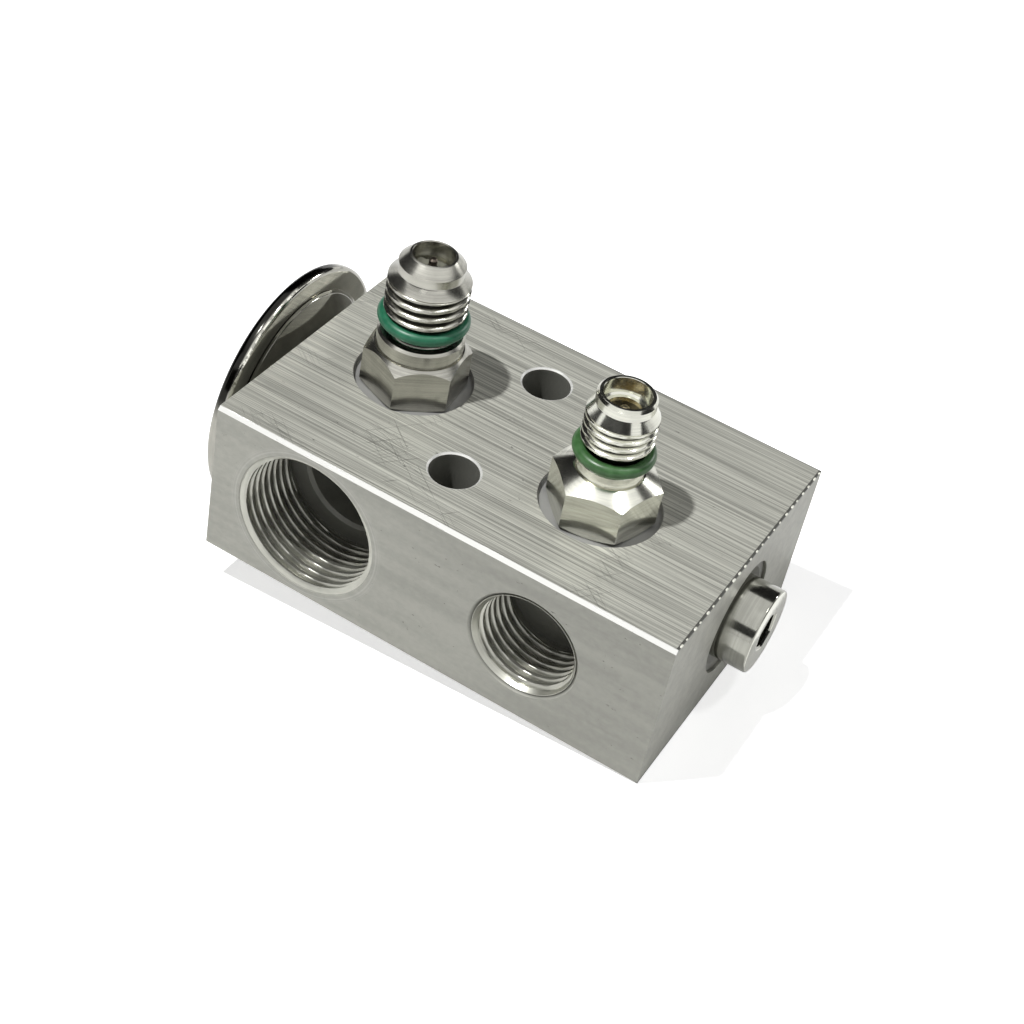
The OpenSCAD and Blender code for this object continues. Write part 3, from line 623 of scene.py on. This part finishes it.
def threadTree():
    tree = bpy.data.node_groups.new("threadSleeve", "GeometryNodeTree")
    tree.interface.new_socket("Geometry", in_out="OUTPUT", socket_type="NodeSocketGeometry")
    sizes = ("Root Radius", "Crest Radius", "Back Radius", "Pitch", "Length", "Crest Flat",
             "Root Flat", "Run In", "Run Out")
    for size in sizes:
        tree.interface.new_socket(size, in_out="INPUT", socket_type="NodeSocketFloat")
    for count in ("Around", "Rows"):
        tree.interface.new_socket(count, in_out="INPUT", socket_type="NodeSocketInt")
    tree.interface.new_socket("Material", in_out="INPUT", socket_type="NodeSocketMaterial")
    nodes = Nodes(tree)
    given = nodes.add("NodeGroupInput")
    size = {name: given.out(name) for name in (*sizes, "Around", "Rows", "Material")}
    grid = nodes.add("GeometryNodeMeshGrid", {},
                     {"Size X": 1.0, "Size Y": 1.0, "Vertices X": size["Around"] + 1,
                      "Vertices Y": size["Rows"]})
    across = nodes.add("ShaderNodeSeparateXYZ", {},
                       {"Vector": nodes.add("GeometryNodeInputPosition")})
    turns = across + 0.5
    row = ((across.out("Y") + 0.5) * (size["Rows"] - 1)).sum("ROUND")
    ridgeRow = row.above(0.5) * row.below(size["Rows"] - 2.5)
    lastRow = row.above(size["Rows"] - 1.5)
    climb = ((row - 1) / (size["Rows"] - extraRows)).unit()
    height = size["Length"] * climb * (1 - lastRow)
    wave = ((height / size["Pitch"] - turns).fraction() * 2 - 1).size()
    ridge = ((wave - size["Root Flat"]) / (1 - size["Crest Flat"] - size["Root Flat"])).unit()
    ridge = ridge.least(height / size["Run In"])
    ridge = ridge.least((size["Length"] - height) / size["Run Out"]).unit()
    radius = size["Root Radius"] + (size["Crest Radius"] - size["Root Radius"]) * ridge
    radius = ridgeRow * radius + (1 - ridgeRow) * size["Back Radius"]
    angle = turns * (2 * math.pi)
    point = nodes.add("ShaderNodeCombineXYZ", {},
                      {"X": radius * angle.sum("COSINE"), "Y": radius * angle.sum("SINE"),
                       "Z": height})
    wound = nodes.add("GeometryNodeSetPosition", {}, {"Geometry": grid, "Position": point})
    joined = nodes.add("GeometryNodeMergeByDistance", {}, {"Geometry": wound, "Distance": 1e-6})
    solid = nodes.add("GeometryNodeRealizeInstances", {}, {"Geometry": joined})
    shown = nodes.add("GeometryNodeSetMaterial", {}, {"Geometry": solid,
                                                      "Material": size["Material"]})
    nodes.add("NodeGroupOutput", {}, {"Geometry": shown})
    return tree


# Runs a node tree on an empty mesh and returns the result as a plain mesh
def grown(tree, name, values):
    carrier = bpy.data.objects.new(name + "Carrier", bpy.data.meshes.new(name + "Carrier"))
    bpy.context.scene.collection.objects.link(carrier)
    modifier = carrier.modifiers.new("grow", "NODES")
    modifier.node_group = tree
    sockets = {item.name: item.identifier for item in tree.interface.items_tree
               if item.item_type == "SOCKET" and item.in_out == "INPUT"}
    for key, value in values.items():
        modifier[sockets[key]] = value
    graph = bpy.context.evaluated_depsgraph_get()
    mesh = bpy.data.meshes.new_from_object(carrier.evaluated_get(graph))
    mesh.name = name
    carrier.modifiers.remove(modifier)
    bpy.data.objects.remove(carrier)
    return mesh


sleeveTree = threadTree()


def threadPiece(name, place, root, crest, back, pitch, length, finish, crestFlat=0.25,
                rootFlat=0.12, runIn=0.8, runOut=0.8, phase=0.0, around=144, perPitch=12):
    mesh = grown(sleeveTree, name, {
        "Root Radius": root * mm, "Crest Radius": crest * mm, "Back Radius": back * mm,
        "Pitch": pitch * mm, "Length": length * mm, "Crest Flat": crestFlat,
        "Root Flat": rootFlat, "Run In": runIn * mm, "Run Out": runOut * mm, "Around": around,
        "Rows": int(length / pitch * perPitch) + extraRows, "Material": finishes[finish]})
    mesh.transform(place @ Matrix.Rotation(math.radians(phase), 4, "Z"))
    return asPiece(name, cleaned(mesh), "block", finish, sharp=40)


# A node's own form, with its turned faces smoothed
def smoothCopy(node, name, body, finish, sharp=22.0):
    mesh = frame["nodes"][node].data.copy()
    mesh.name = name
    if "custom_normal" in mesh.attributes:
        mesh.attributes.remove(mesh.attributes["custom_normal"])
    cleaned(mesh, 1e-6, recalculate=False)
    return asPiece(name, mesh, body, finish, (node,), sharp)


smoothCopy("valve_body", "drilled_block", "block", "block")
print("block done")

# Threads inside the four female ports, all of one pitch, in mm
suctionThread = {"minor": 10.35, "runIn": 0.3, "mouth": 0.15}
liquidThread = {"minor": 7.25, "runIn": 1.3, "mouth": 0.2}
femaleThreads = {"front_suction_outlet": suctionThread, "rear_suction_inlet": suctionThread,
                 "front_liquid_inlet": liquidThread, "rear_liquid_outlet": liquidThread}
femaleShape = {"pitch": 25.4 / 18, "back": 0.06, "endGap": 0.4, "crestFlat": 0.42,
               "rootFlat": 0.06, "runOut": 1.2}
for portName, sizes in femaleThreads.items():
    mount, shape = mounts[portName], femaleShape
    major = mount["dims"]["r_mm"]
    depth = mount["dims"]["length_mm"]
    outward = Vector(mount["axis"])
    mouth = Vector(mount["pos_m"])
    mouth.y = blockLow.y if outward.y < 0 else blockHigh.y
    inward = Matrix.Rotation(math.radians(90 if outward.y > 0 else -90), 4, "X")
    place = Matrix.Translation(mouth - outward * sizes["mouth"] * mm) @ inward
    threadPiece(portName + "_thread", place, major, sizes["minor"], major + shape["back"],
                shape["pitch"], depth - shape["endGap"], "thread",
                crestFlat=shape["crestFlat"], rootFlat=shape["rootFlat"],
                runIn=sizes["runIn"], runOut=shape["runOut"])
print("female threads done")

# Service ports: radii, and heights over the block's top face, in mm
suctionPort = {
    "mount": "suction_service_thread", "stub": 4.72, "foot": 3.0, "base": -1.0,
    "hexFlats": 13.6, "hexTop": 6.1, "hexFoot": 6.6, "hexRound": 6.5, "hexTurn": -22,
    "lowDrop": 0.4, "highDrop": 1.35, "collar": 6.3, "collarTop": 8.6, "collarBevel": 0.35,
    "ringSeat": 4.8, "threadEnd": suctionCap["low"], "root": 5.08, "crest": suctionCap["crest"],
    "pitch": 1.5, "phase": 125, "coneFoot": 17.45, "noseFoot": 18.65, "nose": 4.75,
    "noseTop": 20.1, "rim": 3.32, "rimDrop": 0.05, "top": 21.45, "mouth": 3.0,
    "mouthDepth": 3.3, "coreBore": 2.52, "coreDepth": 6.0, "innerBore": 1.95, "boreEnd": 3.9,
    "drill": 1.5,
}
liquidPort = {
    "mount": "liquid_service_thread", "stub": 4.72, "foot": 3.0, "base": -1.0,
    "hexFlats": 13.6, "hexTop": 6.65, "hexFoot": 6.55, "hexRound": 5.0, "hexTurn": 13,
    "lowDrop": 0.65, "highDrop": 1.55, "collar": 4.75, "collarTop": 8.6, "collarBevel": 0.3,
    "ringSeat": 3.95, "threadEnd": liquidCap["low"], "root": 4.3, "crest": liquidCap["crest"],
    "pitch": 1.25, "phase": 60, "coneFoot": 16.2, "noseFoot": 17.6, "nose": 4.1,
    "noseTop": 18.95, "rim": 3.72, "rimDrop": 0.0, "top": 19.3, "mouth": 3.28,
    "mouthDepth": 2.7, "coreBore": 2.52, "coreDepth": 7.0, "innerBore": 1.95, "boreEnd": 3.9,
    "drill": 1.5,
}
# Small edges that both of them have
portEdges = {
    "collarGroove": 0.16, "grooveHeights": (0.02, 0.2, 0.3), "seatRound": 0.35,
    "reliefRound": 0.2, "threadCone": 0.5, "crestStep": 0.02, "noseStep": 0.1,
    "noseRound": 0.12, "noseBevel": (0.06, 0.08), "rimRadii": (0.05, -0.04), "rimRound": 0.03,
    "mouthBevel": (0.05, 0.06), "floorBevel": 0.25, "boreCone": 0.5,
}
capShape = {"rootIn": 0.01, "back": 0.3, "over": 0.05, "crestFlat": 0.3, "rootFlat": 0.1,
            "runIn": 0.5, "runOut": 0.25}


# The outline of a port from its drilling out, up to its mouth and down inside to the drilling
def portSection(port):
    edges = portEdges
    base, hexTop, top, drill = port["base"], port["hexTop"], port["top"], port["drill"]
    collar, collarTop, bevel = port["collar"], port["collarTop"], port["collarBevel"]
    seat, root, threadEnd = port["ringSeat"], port["root"], port["threadEnd"]
    nose, noseFoot, noseTop = port["nose"], port["noseFoot"], port["noseTop"]
    rim, rimTop, mouth = port["rim"], top - port["rimDrop"], port["mouth"]
    mouthFloor, coreFloor = top - port["mouthDepth"], top - port["coreDepth"]
    section = [(drill, base - port["foot"]), (port["stub"], base - port["foot"]),
               (port["stub"], base)]
    section += hexRows(base, hexTop, port["hexFlats"], port["hexFoot"], port["hexRound"],
                       port["lowDrop"], port["highDrop"])
    groove = collar - edges["collarGroove"]
    low, middle, high = (hexTop + height for height in edges["grooveHeights"])
    section += [(groove, low), (groove, middle), (collar, high), (collar, collarTop - bevel),
                (collar - bevel, collarTop)]
    bend = edges["seatRound"]
    section += arc(seat + bend, collarTop + bend, bend, 270, 180)
    bend = edges["reliefRound"]
    section += arc(seat + bend, threadEnd - bend, bend, 180, 90, 4)
    section += [(root, threadEnd), (root, port["coneFoot"] - edges["threadCone"]),
                (port["crest"] - edges["crestStep"], port["coneFoot"]),
                (nose + edges["noseStep"], noseFoot - edges["noseStep"])]
    bend = edges["noseRound"]
    section += arc(nose + bend, noseFoot + bend, bend, 225, 180, 3)
    inwards, downwards = edges["noseBevel"]
    section += [(nose, noseTop - downwards), (nose - inwards, noseTop)]
    outside, inside = edges["rimRadii"]
    section += [(rim + outside, rimTop - edges["rimRound"]), (rim + inside, rimTop)]
    outwards, downwards = edges["mouthBevel"]
    section += [(mouth + outwards, top), (mouth, top - downwards),
                (mouth, mouthFloor + edges["floorBevel"]),
                (mouth - edges["floorBevel"], mouthFloor)]
    section += [(port["coreBore"], mouthFloor), (port["coreBore"], coreFloor),
                (port["innerBore"], coreFloor - edges["boreCone"]),
                (port["innerBore"], port["boreEnd"]),
                (drill, port["boreEnd"] - edges["boreCone"])]
    return section


def portBody(name, node, port, finish):
    place = portPlace(port["mount"])
    mesh = turnedMesh(name, place, portSection(port), math.radians(port["hexTurn"]), around=240)
    asPiece(name, mesh, "block", finish, (node,), sharp=24)
    cap = capShape
    threadPiece(name + "_cap_thread", place @ Matrix.Translation((0, 0, port["threadEnd"] * mm)),
                port["root"] - cap["rootIn"], port["crest"], port["root"] - cap["back"],
                port["pitch"], port["coneFoot"] - port["threadEnd"] + cap["over"], finish,
                crestFlat=cap["crestFlat"], rootFlat=cap["rootFlat"], runIn=cap["runIn"],
                runOut=cap["runOut"], phase=port["phase"], around=160, perPitch=14)


portBody("suction_port_body", "suction_service_port", suctionPort, "portSteel")
portBody("liquid_port_body", "liquid_service_port", liquidPort, "portPlating")


# Round seals, as smooth rings in their own nodes' places
def ringPiece(name, node, finish):
    low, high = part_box(node)
    centre = (low + high) / 2
    section = (high.z - low.z) / 2 / mm
    radius = (high.x - low.x) / 2 / mm - section
    ring = arc(radius, 0, section, 0, 345, 23)
    mesh = turnedMesh(name, Matrix.Translation(centre), ring, around=128)
    asPiece(name, mesh, "block", finish, (node,), sharp=60)


ringPiece("suction_green_ring", "suction_port_ring", "suctionRing")
ringPiece("liquid_green_ring", "liquid_port_ring", "liquidRing")
print("service ports done")

# Power element: radii, and distances from the block's left end, in mm
element = {"radius": 19.5, "face": -2.8, "step": 15.9, "land": 11.5, "landFace": -1.2,
           "seam": -3.8, "back": -5.0, "sheet": 0.9, "neck": 9.0, "neckBore": 6.5,
           "neckEnd": 6.0, "neckBevel": 0.6, "domeTop": -8.6, "domeFlat": 7.0, "fillHole": 1.25,
           "sealRadius": 18.95, "rimRound": 0.85, "rimLift": 0.15, "bendIn": 0.5,
           "stepOut": 0.15, "stepRound": 0.25, "stepFoot": (0.1, 0.25), "stepTop": (0.55, 0.12),
           "landEdge": (0.3, 0.04), "domeFoot": (0.8, 0.25), "domeEdge": (1.2, 0.3),
           "domeInside": 0.3, "coverBend": (0.6, 0.4), "coverGap": 0.2}


def elementPiece(name, node, section):
    mesh = turnedMesh(name, valvePlace, section, around=256)
    asPiece(name, mesh, "block", "element", (node,), sharp=32)


def elementShells():
    e = element
    radius, step, land, neck, bore = e["radius"], e["step"], e["land"], e["neck"], e["neckBore"]
    face, landFace, seam, back = e["face"], e["landFace"], e["seam"], e["back"]
    sheet, sealRadius, rimRound = e["sheet"], e["sealRadius"], e["rimRound"]
    inner = face - sheet
    housing = [(bore, landFace - sheet), (land - e["bendIn"], landFace - sheet),
               (step - e["bendIn"], inner), (sealRadius, inner), (sealRadius, seam),
               (radius, seam)]
    housing += arc(radius - rimRound, seam + e["rimLift"], rimRound, 0, 90, 10)
    housing += [(step + e["stepOut"], face)]
    for (inwards, rise), start, end in ((e["stepFoot"], 270, 330), (e["stepTop"], 30, 80)):
        housing += arc(step - inwards, face + rise, e["stepRound"], start, end, 4)
    outwards, drop = e["landEdge"]
    housing += [(land + outwards, landFace - drop), (land, landFace), (neck, landFace),
                (neck, e["neckEnd"] - e["neckBevel"]), (neck - e["neckBevel"], e["neckEnd"]),
                (bore, e["neckEnd"])]
    elementPiece("element_lower_shell", "power_element_housing", housing)

    top, flat, hole = e["domeTop"], e["domeFlat"], e["fillHole"]
    footIn, footRise = e["domeFoot"]
    edgeOut, edgeDrop = e["domeEdge"]
    bendIn, bendOut = e["coverBend"]
    floor = inner - e["coverGap"]
    cover = [(radius, seam)]
    cover += arc(radius - rimRound, back + rimRound, rimRound, 0, -90, 10)
    cover += [(step, back), (step - footIn, back - footRise), (flat + edgeOut, top + edgeDrop),
              (flat, top), (hole, top), (hole, top + sheet),
              (flat - e["domeInside"], top + sheet), (step - bendIn, back + sheet),
              (step + bendOut, floor), (sealRadius, floor), (sealRadius, seam)]
    elementPiece("element_upper_shell", "power_element_cover", cover)


elementShells()

# Adjuster plug: radii, and distances from the block's left end, in mm
plug = {"radius": 6.35, "start": 61.5, "startBevel": 0.5, "end": 76.6, "bevel": 0.35,
        "recess": 4.1, "recessEnd": 66.5, "grooveLow": 62.9, "grooveHigh": 64.8, "groove": 4.78,
        "socketFlats": 5.0, "socketDepth": 3.2, "socketTip": 0.8, "tipShare": 0.9,
        "socketBevel": (0.15, 0.3), "bevelFlats": 5.6}


def plugPiece():
    p = plug
    radius, start, end, bevel, flats = (
        p["radius"], p["start"], p["end"], p["bevel"], p["socketFlats"])
    corner = flats / 2 / math.cos(math.pi / 6)
    floor = end - p["socketDepth"]
    outwards, downwards = p["socketBevel"]
    section = [(0, floor - p["socketTip"]), (corner * p["tipShare"], floor, flats),
               (corner, floor, flats), (corner, end - downwards, flats),
               (corner + outwards, end, p["bevelFlats"]), (corner + outwards, end),
               (radius - bevel, end)]
    section += arc(radius - bevel, end - bevel, bevel, 90, 0, 5)[1:]
    section += [(radius, p["grooveHigh"]), (p["groove"], p["grooveHigh"]),
                (p["groove"], p["grooveLow"]), (radius, p["grooveLow"]),
                (radius, start + p["startBevel"]), (radius - p["startBevel"], start),
                (p["recess"], start), (p["recess"], p["recessEnd"]), (0, p["recessEnd"])]
    mesh = turnedMesh("adjuster_plug_turned", valvePlace, section)
    asPiece("adjuster_plug_turned", mesh, "adjuster", "bright",
            ("adjuster_plug",))


plugPiece()
print("power element and adjuster done")

# Burr along the block's right top edge, in mm: small chips left by the cutter, one for each pass
burr = {"spacing": 1.9, "chip": (0.16, 0.36, 0.16), "spread": 0.35, "jitter": 0.35, "seed": 4,
        "segments": 10, "rings": 8, "inset": 0.04, "frontGap": 1.3, "rearGap": 0.8}


def burrTree():
    tree = bpy.data.node_groups.new("cutterBurr", "GeometryNodeTree")
    tree.interface.new_socket("Geometry", in_out="OUTPUT", socket_type="NodeSocketGeometry")
    for vector in ("Start", "End", "Chip"):
        tree.interface.new_socket(vector, in_out="INPUT", socket_type="NodeSocketVector")
    tree.interface.new_socket("Jitter", in_out="INPUT", socket_type="NodeSocketFloat")
    for count in ("Count", "Seed"):
        tree.interface.new_socket(count, in_out="INPUT", socket_type="NodeSocketInt")
    tree.interface.new_socket("Material", in_out="INPUT", socket_type="NodeSocketMaterial")
    nodes = Nodes(tree)
    given = nodes.add("NodeGroupInput")
    edge = nodes.add("GeometryNodeMeshLine", {"mode": "END_POINTS"},
                     {"Count": given.out("Count"), "Start Location": given.out("Start"),
                      "Offset": given.out("End")})
    random = nodes.add("FunctionNodeRandomValue", {"data_type": "FLOAT"},
                       {2: -1.0, 3: 1.0, "Seed": given.out("Seed")})
    shift = Wire(nodes, random.socket.node.outputs[1])
    along = nodes.add("ShaderNodeCombineXYZ", {}, {"Y": shift * given.out("Jitter")})
    edge = nodes.add("GeometryNodeSetPosition", {}, {"Geometry": edge, "Offset": along})
    ball = nodes.add("GeometryNodeMeshUVSphere", {},
                     {"Segments": burr["segments"], "Rings": burr["rings"], "Radius": 1.0})
    stretch = nodes.add("ShaderNodeVectorMath", {"operation": "SCALE"},
                        {0: given.out("Chip"), "Scale": 1.0 + burr["spread"] * shift})
    chips = nodes.add("GeometryNodeInstanceOnPoints", {},
                      {"Points": edge, "Instance": ball, "Scale": stretch})
    solid = nodes.add("GeometryNodeRealizeInstances", {}, {"Geometry": chips})
    shown = nodes.add("GeometryNodeSetMaterial", {}, {"Geometry": solid,
                                                      "Material": given.out("Material")})
    nodes.add("NodeGroupOutput", {}, {"Geometry": shown})
    return tree


def burrPiece():
    length = (blockHigh.y - blockLow.y) / mm
    inset = burr["inset"] * mm
    start = Vector((blockHigh.x - inset, blockLow.y + burr["frontGap"] * mm,
                    blockHigh.z - inset))
    end = Vector((start.x, blockHigh.y - burr["rearGap"] * mm, start.z))
    mesh = grown(burrTree(), "edge_burr", {
        "Start": start, "End": end, "Chip": Vector(burr["chip"]) * mm,
        "Jitter": burr["jitter"] * mm, "Count": int(length / burr["spacing"]),
        "Seed": burr["seed"], "Material": finishes["burr"]})
    asPiece("edge_burr", mesh, "block", "burr", sharp=80)


burrPiece()
print("burr done")

# Springs: the joint that presses each one, its axis and travel in mm, and the end that rests,
# 0 for the lower one and 1 for the upper one
springs = {
    "valve_spring": ("valve_opening", 0, 0.6, 1),
    "suction_core_spring": ("suction_core_travel", 2, 1.5, 0),
    "liquid_core_spring": ("liquid_core_travel", 2, 1.5, 0),
}
for node, (joint, axis, travel, restingEnd) in springs.items():
    wire = smoothCopy(node, node + "_wire", "block", "bright", sharp=40)
    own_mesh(wire)
print("springs done")

# Small parts that keep their own nodes
nodeFinish = {
    "diaphragm": "element", "charge_plug": "element", "head_seal": "blackSeal",
    "stop_plate": "brass", "push_rod": "bright", "rod_seal": "blackSeal",
    "rod_seal_retainer": "bright", "valve_ball": "bright", "ball_carrier": "brass",
    "adjuster_seal": "blackSeal",
    "suction_base_seal": "blackSeal", "suction_core_body": "bright", "suction_core_pin": "darkPin",
    "suction_core_seal": "blackSeal",
    "liquid_base_seal": "blackSeal", "liquid_core_body": "brass", "liquid_core_pin": "brass",
    "liquid_core_seal": "blackSeal",
}
for node, finish in nodeFinish.items():
    slots = frame["nodes"][node].data.materials
    slots.clear()
    slots.append(finishes[finish])
print("node finishes done")

# Camera: its place in mm from the block's lower left front corner, and its three axes
camera = {"place": (119.23, -175.22, 199.47), "right": (0.84701, 0.50659, 0.16104),
          "up": (-0.43114, 0.47751, 0.76557), "back": (0.31094, -0.71788, 0.62287),
          "lens": 69.635, "sensor": 36, "shift": -0.0898, "nearest": 0.01, "farthest": 20}
cameraData = bpy.data.cameras.new("camera")
cameraData.lens = camera["lens"]
cameraData.sensor_width = camera["sensor"]
cameraData.shift_y = camera["shift"]
cameraData.clip_start = camera["nearest"]
cameraData.clip_end = camera["farthest"]
cameraObject = bpy.data.objects.new("camera", cameraData)
bpy.context.scene.collection.objects.link(cameraObject)
turnMatrix = Matrix((camera["right"], camera["up"], camera["back"])).transposed().to_4x4()
corner = Vector((blockLow.x, blockLow.y, blockLow.z))
cameraObject.matrix_world = Matrix.Translation(corner + Vector(camera["place"]) * mm) @ turnMatrix
bpy.context.scene.camera = cameraObject

# Floor: the valve rests on the element's rim and on the block's right end
studio = {"floorSize": 6.0, "floorColour": (0.85, 0.85, 0.85, 1), "floorRough": 0.9,
          "rimFoot": 0.5, "floorGap": 0.02, "target": (0, 0, 0.015),
          "worldStrength": 0.08, "floorGlow": 0.64, "mirroredGlow": 0.15}
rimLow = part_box("power_element_housing")[0]
lift = blockLow.z - rimLow.z
reach = blockHigh.x - (rimLow.x + studio["rimFoot"] * mm)
tilt = math.atan2(lift, reach)
floorPlace = (Matrix.Translation((blockHigh.x, 0, blockLow.z - studio["floorGap"] * mm))
              @ Matrix.Rotation(-tilt, 4, "Y"))


def stagePlane(name, width, depth, place, material, card=False):
    mesh = bpy.data.meshes.new(name)
    w, d = width / 2, depth / 2
    mesh.from_pydata([(-w, -d, 0), (w, -d, 0), (w, d, 0), (-w, d, 0)], [], [(0, 1, 2, 3)])
    mesh.materials.append(material)
    plane = bpy.data.objects.new(name, mesh)
    plane.matrix_world = place
    bpy.context.scene.collection.objects.link(plane)
    if card:
        plane.visible_camera = plane.visible_diffuse = plane.visible_shadow = False


# White to the camera, and a softer glow in what mirrors it
def paleFloor():
    material, nodes, shader = newMaterial("paleFloor", {
        "Base Color": studio["floorColour"], "Roughness": studio["floorRough"],
        "Specular IOR Level": 0.0, "Emission Color": (1, 1, 1, 1)})[:3]
    path = nodes.add("ShaderNodeLightPath")
    mirrored = path.out("Is Glossy Ray").most(path.out("Is Transmission Ray"))
    glow = path.out("Is Camera Ray") * studio["floorGlow"] + mirrored * studio["mirroredGlow"]
    nodes.plug(shader.inputs["Emission Strength"], glow)
    return material


def cardMaterial(name, level):
    return newMaterial(name, {"Base Color": (level, level, level, 1), "Roughness": 1.0,
                              "Specular IOR Level": 0.0})[0]


def facing(place, target=studio["target"]):
    place, target = Vector(place), Vector(target)
    return (Matrix.Translation(place)
            @ (place - target).to_track_quat("Z", "Y").to_matrix().to_4x4())


stagePlane("floor", studio["floorSize"], studio["floorSize"], floorPlace, paleFloor())

# Cards that only reflections see: place, width and height in metres, level
cards = {
    "cardBack": ((-0.2, 1.3, 0.95), 2.6, 1.5, 0.04),
    "cardLeft": ((-1.3, 0.0, 0.75), 2.4, 1.4, 0.03),
    "cardRight": ((1.3, 0.5, 0.55), 1.4, 0.7, 0.03),
    "cardFront": ((0.15, -0.98, 0.45), 2.0, 0.42, 0.03),
}
for cardName, (place, width, height, level) in cards.items():
    stagePlane(cardName, width, height, facing(place), cardMaterial(cardName, level), True)

# Lamps: place and size in metres, watts
lamps = {
    "keyLamp": ((-0.41, -0.41, 1.25), 0.045, 16.5),
    "secondLamp": ((0.44, 0.12, 1.22), 0.16, 2.2),
    "sideLamp": ((0.57, 1.13, 0.6), 0.12, 3.2),
    "frontLamp": ((0.3, -1.5, 0.9), 0.5, 1.6),
}
for lampName, (place, size, watts) in lamps.items():
    lamp = bpy.data.lights.new(lampName, "AREA")
    lamp.shape = "DISK"
    lamp.size = size
    lamp.energy = watts
    lampObject = bpy.data.objects.new(lampName, lamp)
    lampObject.matrix_world = facing(place)
    bpy.context.scene.collection.objects.link(lampObject)

# World: white behind the valve, softer as a light
world = bpy.data.worlds.new("studio")
world.use_nodes = True
bpy.context.scene.world = world
worldNodes = Nodes(world.node_tree)
path = worldNodes.add("ShaderNodeLightPath")
mirrored = path.out("Is Glossy Ray").most(path.out("Is Transmission Ray"))
seen = path.out("Is Camera Ray").most(mirrored)
background = world.node_tree.nodes["Background"]
background.inputs["Color"].default_value = (1, 1, 1, 1)
worldNodes.plug(background.inputs["Strength"],
                studio["worldStrength"] + (1 - studio["worldStrength"]) * seen)
bpy.context.scene.view_settings.view_transform = "Standard"
print("studio done")
